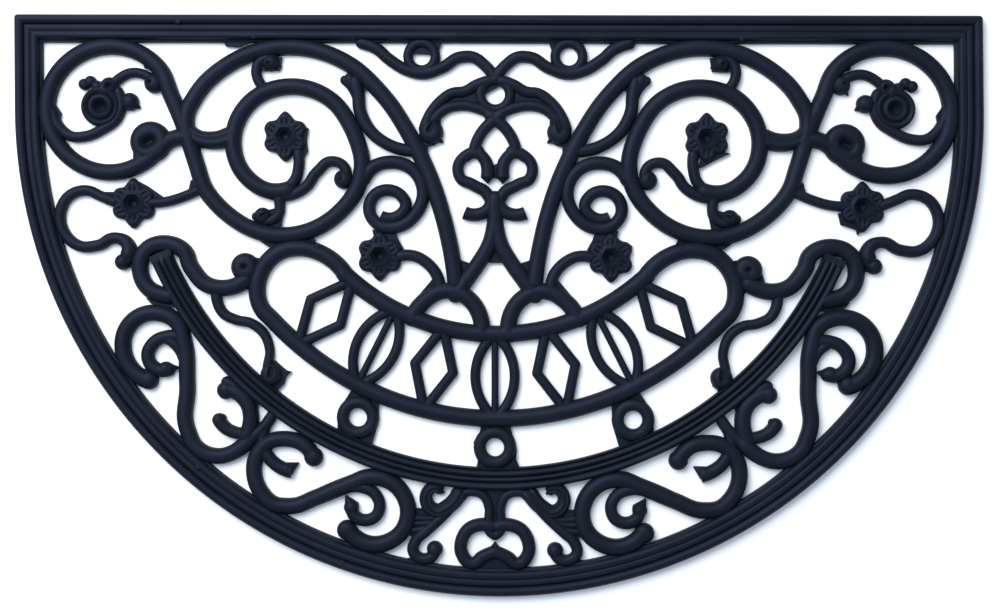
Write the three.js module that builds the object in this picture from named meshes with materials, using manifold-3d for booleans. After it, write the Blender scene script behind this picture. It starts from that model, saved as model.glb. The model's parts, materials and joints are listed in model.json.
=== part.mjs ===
import * as THREE from 'three';
import { mergeVertices } from 'three/addons/utils/BufferGeometryUtils.js';
import Module from 'manifold-3d';

const wasm = await Module();
wasm.setup();

// A half round open-work doormat, moulded in one piece of black recycled rubber.
// Millimetres. X runs along the straight edge, Y points to that edge, Z is up from the floor.

// Driving dimensions
const WIDTH = 762;
const DEPTH = 457;
const THICKNESS = 9.5;
const FLASH_THICKNESS = 3.5;
const RIM_WIDTH = 22;
const RIM_CORNER = 3;
const BAND_RADIUS = 288.8;
const BAND_WIDTH = 17.9;
const BAND_HALF_ANGLE = 67;
const LOWER_FRAME_RADIUS = 241.4;
const LOWER_FRAME_HALF_ANGLE = 45;
const UPPER_FRAME_RADIUS = 175;
const UPPER_FRAME_HALF_ANGLE = 43;
const FRAME_BAR = 13.6;
const MOTIF_COUNT = 7;
const MOTIF_PITCH = 13.4;
const MOTIF_HALF_WIDTH = 15.5;
const MOTIF_BAR = 8;
const MIDRIB_BAR = 5.5;
const PETALS = 6;
const PETAL_WAVE = 0.08;
const FLOWER_RADIUS = 19;

// How the mat lies: the round edge is pushed aside by the lean, and its two ends by the sway too
const LEAN = -2.4;
const SWAY = -3.4;

// Places worked out from them
const HALF_WIDTH = WIDTH / 2;
const TOP_EDGE = DEPTH / 2;
const ARC_Y = HALF_WIDTH - TOP_EDGE;

// How finely curves are stepped
const CHORD_ERROR = 1.2;
const MERGED_WITHIN = 0.7;
const DISC_SIDES = 10;
const RING_SIDES = 12;
const RIM_STEPS = 48;
const LONG_ARC_STEPS = 18;
const CORNER_STEPS = 2;
const FLOWER_SIDES = 24;
const STRAIGHT = 1e-3;
const FULL_TURN = 360;
const HALF_TURN = 180;
const QUARTER_TURN = 90;

// Bars of the left half: widths at the first and the last knot, and the knots of the middle line.
const BARS = [
  { name: 'loop_curl_foot', widths: [11.5, 11.5],
    knots: [[-281.5, 125], [-281.5, 118.5], [-281.5, 112]] },
  { name: 'corner_loop', widths: [13.2, 13.2],
    knots: [[-246.5, 131.5], [-256, 130], [-264.5, 124], [-276, 113.5], [-306, 103.5],
      [-356, 153.5], [-306, 203.5], [-268.5, 188.5], [-255, 160.5], [-245.5, 137.5], [-236.8, 110],
      [-230.3, 91.5], [-216, 74.2], [-173.3, 54.4], [-129.5, 67.5], [-105.5, 104.5],
      [-112.5, 137.5], [-132.5, 163.5], [-163, 172], [-194, 159.5], [-207.5, 130.5], [-197, 100.5],
      [-175, 89], [-164, 90.5]] },
  { name: 'flower_stem', widths: [8.8, 8.8],
    knots: [[-178, 88], [-166, 91], [-158.5, 98], [-155.5, 108], [-155.5, 119]] },
  { name: 'outer_arc', widths: [13.2, 13.2],
    knots: [[-241.5, 129.5], [-244.8, 147.5], [-236.8, 165.2], [-208.6, 190.9], [-163, 203.3],
      [-117.5, 191], [-87.5, 164], [-67.5, 134], [-51, 100], [-38.5, 60], [-31, 18]] },
  { name: 'cross_bar', widths: [12, 15.5],
    knots: [[-244.5, 139], [-236, 131.3], [-226.5, 129.2], [-211, 132.2]] },
  { name: 'spiral_branch', widths: [9.2, 8.2],
    knots: [[-180, 88], [-163, 86], [-150, 92.5], [-141, 104.5], [-129.5, 113], [-119.5, 109],
      [-117.5, 100]] },
  { name: 'spiral_hook', widths: [9, 7.5],
    knots: [[-174, 90.5], [-170.5, 80], [-172, 70], [-182, 65.5], [-189, 69]] },
  { name: 'arc_hook', widths: [8.4, 8],
    knots: [[-183, 171], [-187.5, 177], [-189, 184], [-186.5, 191], [-180, 194.5],
      [-174.5, 192.5]] },
  { name: 'leaf_bar', widths: [10.5, 9.5],
    knots: [[-110.5, 176], [-108.5, 168], [-106.5, 152], [-97.5, 136], [-84.5, 126.5], [-69.5, 122],
      [-57.5, 122]] },
  { name: 'leaf_lobe', widths: [7.5, 5],
    knots: [[-118.8, 177], [-113.5, 171], [-110, 163], [-107.5, 153]] },
  { name: 'leaf_middle', widths: [10.5, 5],
    knots: [[-114.5, 177.5], [-111, 170], [-108, 158]] },
  { name: 'coil_outer', widths: [10.8, 9.2],
    knots: [[-103.5, 99.5], [-95.5, 109], [-82.5, 112.5], [-65.5, 107], [-57, 92], [-61.5, 73.5],
      [-77.5, 61.5], [-92.5, 63.5], [-99.5, 76.5], [-94.5, 87], [-84.5, 90.5], [-74.5, 86.5],
      [-70.5, 78], [-76, 70.5], [-90, 70]] },
  { name: 'coil_flower_stem', widths: [9, 9.5],
    knots: [[-75, 38.5], [-65.5, 39], [-53.5, 33], [-46, 23.5], [-43.5, 11.5]] },
  { name: 'half_loop', widths: [13.2, 13.2],
    knots: [[-65.5, -10.5], [-58.5, 0.5], [-36.5, 11.5], [-19.5, 4], [-12, -8], [-10.5, -22]] },
  { name: 'top_wave', widths: [9.5, 9.2],
    knots: [[-105.5, 206.5], [-94.5, 202.5], [-83.5, 193.5], [-70.5, 185.5], [-57.5, 182.5],
      [-42.5, 187], [-27.5, 195.5], [-17.5, 195.5], [-8, 189], [0.5, 178]] },
  { name: 'leaf_arm', widths: [9, 8.5],
    knots: [[-4.5, 177], [-14, 174], [-24, 168.5], [-34, 167], [-44, 160], [-52, 149.5],
      [-56.2, 139]] },
  { name: 'leaf_arm_low', widths: [8.5, 8.5],
    knots: [[-0.5, 149], [-11.5, 154.5], [-26.5, 157.5], [-39.5, 154.5], [-48.5, 146]] },
  { name: 'tulip', widths: [9.5, 9],
    knots: [[4.5, 150], [-3.5, 144], [-11.5, 135], [-16.5, 123]] },
  { name: 'heart', widths: [8.5, 10.5],
    knots: [[-12.5, 121.5], [-22.5, 118.5], [-29.3, 109], [-27.5, 100.5], [-17.5, 95], [-6.5, 88],
      [-3.5, 80], [-7, 74.5], [-14.5, 71.5], [-24, 73]] },
  { name: 'heart_hook', widths: [8, 11],
    knots: [[-22.5, 117], [-14.5, 120], [-8, 114.5], [-5.8, 106.5], [-6, 101]] },
  { name: 'v_leg', widths: [12.5, 12.5],
    knots: [[0.5, 84], [-0.5, 64], [-4.5, 48], [-12.5, 34], [-22.5, 20], [-31.5, 8]] },
  { name: 's_bar_right', widths: [8, 8],
    knots: [[-273, 79.5], [-263.5, 80], [-248.5, 84], [-232.5, 91.5]] },
  { name: 's_bar', widths: [8.6, 9.4],
    knots: [[-302, 80], [-313, 84.5], [-324.5, 89], [-337.5, 85.5], [-345.5, 72.5], [-342.5, 55],
      [-330.5, 45], [-316, 45.5], [-302, 51.5], [-292, 48], [-289, 39.5], [-293.5, 33.5]] },
  { name: 's_bar_bend', widths: [7, 12.5],
    knots: [[-306, 49.6], [-297.5, 50.3], [-291.8, 46], [-291.3, 38.8]] },
  { name: 'band_hook', widths: [13.2, 13.2],
    knots: [[-258.5, 5.8], [-265, 6.8], [-275, 11.5], [-282, 26], [-277, 42], [-261.5, 47.5],
      [-248, 42.5], [-240.5, 27.5], [-229.5, 15.5], [-213, 12.5], [-198, 18.5]] },
  { name: 'c_bowl_tip', widths: [7.5, 12],
    knots: [[-174, -84], [-182, -96], [-193, -106], [-205, -115.5]] },
  { name: 'c_scroll', widths: [12.5, 13.5],
    knots: [[-195, -107.5], [-205, -116], [-219.5, -120.5], [-236.5, -114.5], [-244.5, -99.5],
      [-244.5, -62.5], [-246.5, -32], [-253.5, -14], [-266.5, -8], [-282, -10], [-293, -20.5],
      [-296, -35], [-290.5, -50.5], [-277, -61]] },
  { name: 'c_inner_root', widths: [8, 9],
    knots: [[-248, -43], [-251.5, -35.5], [-258.5, -29]] },
  { name: 'c_inner', widths: [10, 11],
    knots: [[-250.5, -26], [-259, -26], [-271, -31], [-276, -42], [-271, -51], [-259.5, -52.5]] },
  { name: 'blob_bar', widths: [12.2, 13.2],
    knots: [[-213, -67.5], [-203.5, -71], [-196, -79], [-193.5, -90], [-197, -104]] },
  { name: 'branch_lobe', widths: [9.5, 9.5],
    knots: [[-212.5, -62], [-208.5, -64], [-204.5, -68]] },
  { name: 'small_hook', widths: [11, 9],
    knots: [[-219, -92], [-213.5, -98.5], [-205, -102], [-194, -102]] },
  { name: 'thin_s', widths: [8.8, 7.5],
    knots: [[-220.5, 12.5], [-220, 0.5], [-215, -8], [-206, -12.5], [-193, -15.5], [-183.5, -23],
      [-178.5, -36.5], [-180.5, -50.5], [-181, -57]] },
  { name: 'low_heart', widths: [12.5, 13],
    knots: [[-144, -120], [-151, -111], [-165, -106.5], [-180, -109.5], [-189, -120],
      [-191, -134.5], [-185, -149.5], [-176, -157.7], [-163, -159.5], [-138.2, -151.2],
      [-115.8, -141.7]] },
  { name: 'low_loop', widths: [13, 13.5],
    knots: [[-138.2, -151.2], [-115.8, -141.7], [-97.5, -135.8], [-81.5, -140], [-71.5, -151],
      [-68.5, -165], [-73, -178], [-83.5, -186.5], [-97.5, -189], [-109.5, -184.5],
      [-116.5, -177]] },
  { name: 'low_loop_inner', widths: [9, 10],
    knots: [[-121.5, -146.5], [-105.5, -144], [-95, -149], [-91, -158.5], [-94.5, -167],
      [-103, -170], [-111, -166.5], [-113.5, -159.5]] },
  { name: 'low_hook', widths: [8, 11.5],
    knots: [[-177, -88], [-182.5, -98], [-184, -110], [-179, -121.5], [-170, -129], [-161, -132]] },
  { name: 'acanthus_top', widths: [9, 13],
    knots: [[-44.5, -143.6], [-50, -144], [-54, -149], [-53, -157], [-45.5, -162], [-37, -158.5],
      [-28.5, -149]] },
  { name: 'acanthus_mid', widths: [5, 5],
    knots: [[-66, -166.5], [-57, -168], [-47, -167], [-38.5, -161]] },
  { name: 'acanthus_fill', widths: [5, 5],
    knots: [[-66.5, -171], [-56, -172], [-46.5, -169.5], [-37.5, -162.5]] },
  { name: 'acanthus_foot', widths: [5.5, 5],
    knots: [[-66.5, -177], [-58, -176.5], [-48, -172], [-38.5, -164]] },
  { name: 'acanthus_low', widths: [8.5, 9.5],
    knots: [[-24.5, -148.5], [-33.5, -158], [-43, -168], [-53, -177], [-62.5, -186], [-64.7, -193],
      [-59, -199.5], [-50.5, -198.5], [-47, -193]] },
  { name: 'centre_arm', widths: [7.6, 7.6],
    knots: [[-30.5, -153], [-18.5, -146.5], [-9, -149.5], [-4.8, -158], [-4.8, -170], [-4.6, -177],
      [0.5, -180.8]] },
  { name: 'kidney', widths: [10.5, 10],
    knots: [[-2.5, -173.5], [-11, -172.5], [-20.5, -176], [-26, -184.5], [-26, -195.5], [-18, -203],
      [-9, -197.3], [0.5, -193.5]] },
  { name: 'frame_end', widths: [13.4, 13.6],
    knots: [[-117.5, 22.5], [-138, 40.5], [-155, 44.5], [-171, 41], [-183.5, 29], [-188.5, 13.5],
      [-186, -1.5], [-175.3, -13.6], [-161.5, -26.9]] },
  { name: 'button_wrap', widths: [8.8, 8],
    knots: [[-355.5, 164.5], [-352, 151.5], [-346.5, 139.5], [-336.5, 132], [-325.5, 132],
      [-311, 138], [-300, 146.5], [-296.5, 157.5], [-299, 167.5]] },
  { name: 'button_stem', widths: [7.8, 8],
    knots: [[-305, 170.5], [-298, 178], [-288, 182.5], [-278, 181], [-269.5, 175]] },
];

// Round ends, curls and buds of the left half.
const DISCS = [
  { name: 'loop curl', x: -273.1, y: 127.7, radius: 16.4 },
  { name: 'rosette neck', x: -309, y: 169.5, radius: 7 },
  { name: 'bud ring', x: -305.8, y: 171.8, radius: 7.2 },
  { name: 'bud tip', x: -326, y: 173.2, radius: 4.6 },
  { name: 'bud middle', x: -321, y: 175.5, radius: 4.6 },
  { name: 'bud root', x: -315.5, y: 171.5, radius: 4.8 },
  { name: 'right bud', x: -289.7, y: 159.5, radius: 7.2 },
  { name: 'stem curl', x: -270.5, y: 174, radius: 7.6 },
  { name: 'branch curl', x: -119.8, y: 98.8, radius: 7.6 },
  { name: 'hook curl', x: -184, y: 69.5, radius: 6.8 },
  { name: 'arc hook curl', x: -177.5, y: 190.5, radius: 6.6 },
  { name: 'arm curl', x: -50.3, y: 136.4, radius: 9.6 },
  { name: 'band hook curl', x: -198, y: 29, radius: 11.3 },
  { name: 'thin curl', x: -177.2, y: -55.8, radius: 8.7 },
  { name: 'low leaf', x: -113.5, y: -160, radius: 6 },
  { name: 'scroll leaf', x: -261.5, y: -52, radius: 6 },
  { name: 'small hook corner', x: -216.6, y: -90.4, radius: 3.4 },
  { name: 'branch end', x: -213.5, y: -68.5, radius: 7.2 },
  { name: 'low curl', x: -47.3, y: -192, radius: 6.4 },
  { name: 's curl', x: -295.8, y: 32.5, radius: 6.4 },
  { name: 'scroll end', x: -275, y: -60.8, radius: 7.6 },
  { name: 'heart end', x: -143.5, y: -120.5, radius: 7.6 },
  { name: 'loop end', x: -117, y: -177.8, radius: 8 },
  { name: 'rosette', x: -312.5, y: 155.5, radius: 16 },
];

// Rings of the left half, then those on the middle line.
const RINGS = [
  { name: 'top ring', x: -58, y: 196, radius: 10.8, width: 7.8 },
  { name: 'band ring', x: -108.3, y: -89, radius: 12, width: 9.8 },
];
const MIDDLE_RINGS = [
  { name: 'middle ring', x: 0, y: 166, radius: 11.7, width: 8.2 },
  { name: 'middle band ring', x: 0, y: -111.5, radius: 12, width: 9.8 },
];

// Flowers of the left half, each with a petal pointing up.
const FLOWERS = [
  { name: 'stem flower', x: -287, y: 79 },
  { name: 'spiral flower', x: -166, y: 132.5 },
  { name: 'coil flower', x: -91, y: 38.5 },
];

// Small leaf tips of the left half: where each grows from, its point, and its width at the root.
const TIPS = [
  { name: 'right bud tip', root: [-289.5, 159], point: [-281.4, 154.6], width: 14 },
  { name: 'arc hook tip', root: [-175, 190], point: [-168.8, 187.5], width: 8 },
  { name: 'arm curl tip', root: [-49, 133], point: [-40.8, 128.2], width: 12 },
  { name: 'thin curl tip', root: [-178, -58], point: [-174.5, -66.5], width: 10 },
  { name: 'low hook tip', root: [-163.5, -130], point: [-155.3, -125.3], width: 11.5 },
  { name: 'low leaf tip', root: [-113.5, -158.8], point: [-118.2, -150.6], width: 12 },
  { name: 'scroll leaf tip', root: [-260, -52], point: [-251, -50.5], width: 11 },
  { name: 'kidney point', root: [-1.5, -193], point: [0.3, -185.8], width: 8 },
  { name: 'heart hook tip', root: [-6, 101.3], point: [-5.7, 96], width: 11 },
];

// Flash left by the mould on both halves, as low plates: the corners of those of the left half.
const FLASH = [
  { name: 'arc hook', corners: [[-190, 198], [-189, 187], [-182.5, 184], [-170, 184.5],
    [-168.5, 195]] },
  { name: 'leaf bar', corners: [[-112, 178], [-104, 168], [-99.5, 171], [-106, 179], [-112, 182]] },
  { name: 'spiral hook', corners: [[-173, 76], [-185, 73], [-191, 67.5], [-190, 60], [-169.5, 60],
    [-166, 78]] },
  { name: 'loop and frame end', corners: [[-144, 53.5], [-140, 46], [-150, 44], [-175, 43],
    [-181, 46], [-190, 52.5], [-170, 57]] },
  { name: 'coil and flower', corners: [[-97, 59], [-95, 50], [-84, 45], [-72, 44], [-76.5, 52],
    [-79.5, 61]] },
  { name: 'stem and half loop', corners: [[-49.5, 20.5], [-60, 8], [-66, 2], [-52, 6], [-44, 16]] },
  { name: 'leaf arm', corners: [[-46, 158], [-30, 161], [-14, 160], [-12, 173], [-35, 168]] },
  { name: 'acanthus', corners: [[-64, -160], [-68, -181], [-60, -186], [-40, -168], [-52, -160]] },
  { name: 'band ring left', corners: [[-113.5, -67.5], [-121, -79], [-124.5, -88], [-124.5, -99],
    [-118, -99], [-119, -89], [-114, -78], [-107, -75], [-107, -70]] },
  { name: 'band ring right', corners: [[-99, -77], [-91.5, -77], [-92, -93], [-97.5, -111],
    [-108, -108], [-103, -103], [-97, -96], [-97, -84]] },
];

// Flash on one side only, or on the middle line.
const SINGLE_FLASH = [
  { name: 'left stem flower', corners: [[-284, 97], [-280, 80], [-268, 78], [-263, 84],
    [-276, 93]] },
  { name: 'left spiral flower', corners: [[-161, 145], [-147.5, 139], [-149, 130], [-148, 121],
    [-151, 116], [-160, 120]] },
  { name: 'right stem flower', corners: [[268, 74], [270, 65], [282, 61], [283, 57], [288, 62],
    [280, 74]] },
  { name: 'left thin curl', corners: [[-172.5, -68.4], [-166.9, -63.1], [-165, -57.1],
    [-161, -53.3], [-165, -52.4], [-174.5, -44.3], [-178, -54]] },
  { name: 'kidneys', corners: [[-12, -198], [12, -198], [12, -209], [-12, -209]] },
  { name: 'heart hooks', corners: [[-3.5, 110], [3.5, 112], [3.5, 99.5], [-3.5, 101]] },
  { name: 'centre slot', corners: [[-4, -178], [4, -178], [6, -140], [-6, -140]] },
  { name: 'middle band ring left', corners: [[-10.7, -93], [-12, -99.7], [-17, -107.7],
    [-15.3, -114.3], [-13.3, -121], [-14.7, -128.5], [-4, -128.5], [-9, -118], [-9, -104],
    [-4, -93]] },
  { name: 'middle band ring right', corners: [[11.3, -93], [15.3, -106.3], [17.3, -113],
    [16.7, -121], [20, -128.5], [4, -128.5], [9, -118], [9, -104], [4, -93]] },
];

const vector = ([x, y]) => new THREE.Vector2(x, y);

function polar(radius, degrees, x = 0, y = ARC_Y) {
  const angle = THREE.MathUtils.degToRad(degrees);
  return new THREE.Vector2(x + radius * Math.sin(angle), y - radius * Math.cos(angle));
}

// The circle through a, b and c: its centre, and its sense, 0 where the three lie on one line.
function circleThrough(a, b, c) {
  const cross = (b.x - a.x) * (c.y - b.y) - (b.y - a.y) * (c.x - b.x);
  if (Math.abs(cross) < STRAIGHT * a.distanceTo(b) * b.distanceTo(c)) {
    return { sense: 0 };
  }
  const [sa, sb, sc] = [a.lengthSq(), b.lengthSq(), c.lengthSq()];
  const centre = new THREE.Vector2(
    (sa * (b.y - c.y) + sb * (c.y - a.y) + sc * (a.y - b.y)) / (2 * cross),
    (sa * (c.x - b.x) + sb * (a.x - c.x) + sc * (b.x - a.x)) / (2 * cross),
  );
  return { centre, sense: Math.sign(cross) };
}

// How far round the circle it is from p to q, signed.
function sweep(circle, p, q) {
  if (circle.sense === 0) {
    return 0;
  }
  const from = p.clone().sub(circle.centre).angle();
  const to = q.clone().sub(circle.centre).angle();
  const turn = (to - from) * circle.sense;
  return circle.sense * THREE.MathUtils.euclideanModulo(turn, 2 * Math.PI);
}

// The point a share t of the way from p to q along the circle.
function along(circle, p, q, t) {
  if (circle.sense === 0) {
    return p.clone().lerp(q, t);
  }
  return p.clone().rotateAround(circle.centre, sweep(circle, p, q) * t);
}

// How many chords from p to q stay near enough to the circle.
function chords(circle, p, q) {
  if (circle.sense === 0) {
    return 1;
  }
  const step = 2 * Math.acos(1 - CHORD_ERROR / p.distanceTo(circle.centre));
  return Math.ceil(Math.abs(sweep(circle, p, q)) / step);
}

// The middle line of a bar. Between two knots it slides from the circle through the knot before
// and these two, to the circle through these two and the knot after.
function middleLine(knots) {
  const line = [];
  for (let i = 0; i + 1 < knots.length; i++) {
    const [p, q] = [knots[i], knots[i + 1]];
    const before = i > 0 ? circleThrough(knots[i - 1], p, q) : null;
    const after = i + 2 < knots.length ? circleThrough(p, q, knots[i + 2]) : null;
    const first = before ?? after ?? { sense: 0 };
    const last = after ?? before ?? { sense: 0 };
    const steps = Math.max(chords(first, p, q), chords(last, p, q));
    for (let k = 0; k < steps; k++) {
      const t = k / steps;
      const share = Math.sin((t * Math.PI) / 2) ** 2;
      line.push(along(first, p, q, t).lerp(along(last, p, q, t), share));
    }
  }
  line.push(knots[knots.length - 1].clone());
  return line;
}

// A bar as a chain of four-cornered outlines that share their ends.
function barOutlines(knots, widths) {
  const line = middleLine(knots);
  const last = line.length - 1;
  const edges = line.map((point, i) => {
    const ahead = line[Math.min(i + 1, last)].clone().sub(line[Math.max(i - 1, 0)]).normalize();
    const half = THREE.MathUtils.lerp(widths[0], widths[1], i / last) / 2;
    const side = new THREE.Vector2(-ahead.y, ahead.x).multiplyScalar(half);
    return [point.clone().add(side), point.clone().sub(side)];
  });
  const outlines = [];
  for (let i = 0; i < last; i++) {
    const corners = [edges[i][0], edges[i + 1][0], edges[i + 1][1], edges[i][1]];
    const middle = line[i].clone().lerp(line[i + 1], 0.5);
    const bearing = (corner) => corner.clone().sub(middle).angle();
    outlines.push(corners.sort((a, b) => bearing(a) - bearing(b)));
  }
  return outlines;
}

function discOutline(x, y, radius, sides = DISC_SIDES) {
  return Array.from({ length: sides }, (_, i) => polar(radius, (i * FULL_TURN) / sides, x, y));
}

function flowerOutline(x, y) {
  return Array.from({ length: FLOWER_SIDES }, (_, i) => {
    const angle = (i * FULL_TURN) / FLOWER_SIDES;
    const wave = Math.cos(THREE.MathUtils.degToRad(angle * PETALS));
    return polar(FLOWER_RADIUS * (1 - PETAL_WAVE + PETAL_WAVE * wave), angle, x, y);
  });
}

function tipOutline({ root, point, width }) {
  const [from, to] = [vector(root), vector(point)];
  const ahead = to.clone().sub(from).normalize();
  const side = new THREE.Vector2(-ahead.y, ahead.x).multiplyScalar(width / 2);
  return [from.clone().add(side), to, from.clone().sub(side)];
}

// A bar concentric with the mat's round edge, symmetric about the middle line.
function arcOutline(radius, width, halfAngle) {
  const angles = Array.from({ length: LONG_ARC_STEPS + 1 }, (_, i) => {
    const share = i / LONG_ARC_STEPS;
    return THREE.MathUtils.lerp(-halfAngle, halfAngle, share);
  });
  const outer = angles.map((angle) => polar(radius + width / 2, angle));
  const inner = angles.map((angle) => polar(radius - width / 2, angle));
  return [...outer, ...inner.reverse()];
}

// The mat's outline moved inwards: straight top edge, short straight sides and a half circle.
function matShape(inset, corner) {
  const [side, top] = [HALF_WIDTH - inset, TOP_EDGE - inset];
  const shape = new THREE.Shape();
  shape.moveTo(-side, ARC_Y);
  for (let i = 0; i <= CORNER_STEPS; i++) {
    const angle = (i * QUARTER_TURN) / CORNER_STEPS - QUARTER_TURN;
    const p = polar(-corner, -angle, -side + corner, top - corner);
    shape.lineTo(p.x, p.y);
  }
  for (let i = 0; i <= CORNER_STEPS; i++) {
    const angle = (i * QUARTER_TURN) / CORNER_STEPS;
    const p = polar(-corner, -angle, side - corner, top - corner);
    shape.lineTo(p.x, p.y);
  }
  shape.lineTo(side, ARC_Y);
  for (let i = 1; i < RIM_STEPS; i++) {
    const p = polar(side, QUARTER_TURN - (i * HALF_TURN) / RIM_STEPS);
    shape.lineTo(p.x, p.y);
  }
  return shape;
}

// The filling of the arched frame: lozenges and pointed leaves in turn, from its upper bar to its
// lower one.
function motifOutlines() {
  const middle = (UPPER_FRAME_RADIUS + LOWER_FRAME_RADIUS) / 2;
  const spread = THREE.MathUtils.radToDeg(MOTIF_HALF_WIDTH / middle);
  const outlines = [];
  for (let i = 0; i < MOTIF_COUNT; i++) {
    const angle = (i - (MOTIF_COUNT - 1) / 2) * MOTIF_PITCH;
    const up = polar(UPPER_FRAME_RADIUS, angle);
    const down = polar(LOWER_FRAME_RADIUS, angle);
    const leaf = i % 2 === 1;
    for (const side of [-1, 1]) {
      const out = polar(middle, angle + side * spread);
      const runs = leaf ? [[up, out, down]] : [[up, out], [out, down]];
      for (const run of runs) {
        outlines.push(...barOutlines(run, [MOTIF_BAR, MOTIF_BAR]));
      }
      if (!leaf) {
        outlines.push(discOutline(out.x, out.y, MOTIF_BAR / 2));
      }
    }
    if (leaf) {
      outlines.push(...barOutlines([up, down], [MIDRIB_BAR, MIDRIB_BAR]));
    }
  }
  return outlines;
}

function solidOf(shape, thickness = THICKNESS) {
  const extruded = new THREE.ExtrudeGeometry(shape, { depth: thickness, bevelEnabled: false });
  extruded.deleteAttribute('normal');
  extruded.deleteAttribute('uv');
  const merged = mergeVertices(extruded);
  return new wasm.Manifold(new wasm.Mesh({
    numProp: 3,
    vertProperties: merged.attributes.position.array,
    triVerts: Uint32Array.from(merged.index.array),
  }));
}

function unite(solids) {
  let rest = solids;
  while (rest.length > 1) {
    const pairs = [];
    for (let i = 0; i < rest.length; i += 2) {
      pairs.push(i + 1 < rest.length ? rest[i].add(rest[i + 1]) : rest[i]);
    }
    rest = pairs;
  }
  return rest[0];
}

const mirrored = (outline) => outline.map((p) => new THREE.Vector2(-p.x, p.y)).reverse();

function ringShape({ x, y, radius, width }) {
  const shape = new THREE.Shape(discOutline(x, y, radius + width / 2, RING_SIDES));
  shape.holes.push(new THREE.Path(discOutline(x, y, radius - width / 2, RING_SIDES)));
  return shape;
}

// Lays the mat as it lies in use, and centres it again.
function lieDown(geometry) {
  const positions = geometry.attributes.position;
  for (let i = 0; i < positions.count; i++) {
    const x = positions.getX(i);
    const aside = LEAN + SWAY * (x / HALF_WIDTH) ** 2;
    positions.setX(i, x + (aside * (positions.getY(i) - ARC_Y)) / HALF_WIDTH);
  }
  geometry.computeBoundingBox();
  const { min, max } = geometry.boundingBox;
  geometry.translate(-(min.x + max.x) / 2, 0, 0);
}

const left = [
  ...BARS.flatMap(({ widths, knots }) => barOutlines(knots.map(vector), widths)),
  ...DISCS.map(({ x, y, radius }) => discOutline(x, y, radius)),
  ...FLOWERS.map(({ x, y }) => flowerOutline(x, y)),
  ...TIPS.map(tipOutline),
];
const middle = [
  arcOutline(BAND_RADIUS, BAND_WIDTH, BAND_HALF_ANGLE),
  arcOutline(LOWER_FRAME_RADIUS, FRAME_BAR, LOWER_FRAME_HALF_ANGLE),
  arcOutline(UPPER_FRAME_RADIUS, FRAME_BAR, UPPER_FRAME_HALF_ANGLE),
  ...motifOutlines(),
];
const bars = [...left, ...left.map(mirrored), ...middle].map((outline) => new THREE.Shape(outline));

const rightRings = RINGS.map((ring) => ({ ...ring, x: -ring.x }));
const rings = [...RINGS, ...rightRings, ...MIDDLE_RINGS].map(ringShape);

const flashOutlines = FLASH.map(({ corners }) => corners.map(vector));
const singleOutlines = SINGLE_FLASH.map(({ corners }) => corners.map(vector));
const flash = [...flashOutlines, ...flashOutlines.map(mirrored), ...singleOutlines]
  .map((outline) => solidOf(new THREE.Shape(outline), FLASH_THICKNESS));

const opening = solidOf(matShape(RIM_WIDTH, RIM_CORNER / 2));
const rim = solidOf(matShape(0, RIM_CORNER)).subtract(opening);
const solids = [...rings, ...bars].map((shape) => solidOf(shape));
const joined = unite([rim, ...solids, ...flash]).asOriginal().simplify(MERGED_WITHIN);
const { vertProperties, triVerts } = joined.getMesh();

const geometry = new THREE.BufferGeometry();
geometry.setAttribute('position', new THREE.BufferAttribute(vertProperties, 3));
geometry.setIndex(new THREE.BufferAttribute(triVerts, 1));
lieDown(geometry);
geometry.computeVertexNormals();

const mat = new THREE.Mesh(geometry, new THREE.MeshStandardMaterial({
  color: 0x23272f,
  roughness: 0.62,
  metalness: 0,
}));
mat.name = 'mat';

const doormat = new THREE.Group();
doormat.add(mat);

export default doormat;
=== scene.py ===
"""The looks of a half round open-work doormat, moulded in one piece of recycled black rubber.

Each bar, curl, ring and flower of the mat is first worked out on its own as a closed surface,
standing on the floor. They are then joined into one moulded solid, and the eyes of the curls are
sunk into it. Tables hold the left half in millimetres, X along the straight edge and Y towards it.
"""

import json

import bpy
import numpy as np
from bpy.props import FloatProperty, FloatVectorProperty, IntProperty, PointerProperty
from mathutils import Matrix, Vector

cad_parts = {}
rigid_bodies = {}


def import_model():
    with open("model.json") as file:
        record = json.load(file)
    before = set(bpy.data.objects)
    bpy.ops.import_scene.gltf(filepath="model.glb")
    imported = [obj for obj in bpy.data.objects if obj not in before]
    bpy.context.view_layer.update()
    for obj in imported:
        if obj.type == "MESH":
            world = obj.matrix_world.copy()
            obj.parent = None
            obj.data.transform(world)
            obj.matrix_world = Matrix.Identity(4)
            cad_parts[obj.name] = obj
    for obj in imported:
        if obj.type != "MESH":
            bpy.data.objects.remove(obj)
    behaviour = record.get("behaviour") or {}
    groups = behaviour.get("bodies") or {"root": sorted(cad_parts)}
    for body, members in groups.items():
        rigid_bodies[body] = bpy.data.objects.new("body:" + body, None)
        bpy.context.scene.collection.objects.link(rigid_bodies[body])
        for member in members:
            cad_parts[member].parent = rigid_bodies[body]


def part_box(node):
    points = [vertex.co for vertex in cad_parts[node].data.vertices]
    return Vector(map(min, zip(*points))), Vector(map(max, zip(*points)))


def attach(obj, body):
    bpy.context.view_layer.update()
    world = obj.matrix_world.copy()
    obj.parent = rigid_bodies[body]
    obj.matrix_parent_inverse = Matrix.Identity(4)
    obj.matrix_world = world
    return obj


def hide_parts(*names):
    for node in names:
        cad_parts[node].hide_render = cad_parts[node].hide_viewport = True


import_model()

bl_info = {
    "name": "Half round rubber doormat",
    "version": (1, 0, 0),
    "blender": (4, 5, 0),
    "location": "View3D > Sidebar > Doormat",
    "description": "Moulds an open-work half round doormat of recycled rubber",
    "category": "Add Mesh",
}

MM = 0.001
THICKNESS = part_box("mat")[1].z / MM


def table(columns, rows):
    """The rows of a table by the names of its columns. The last columns may be left out of a row."""
    return [dict(zip(columns.split(), row)) for row in rows]


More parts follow.
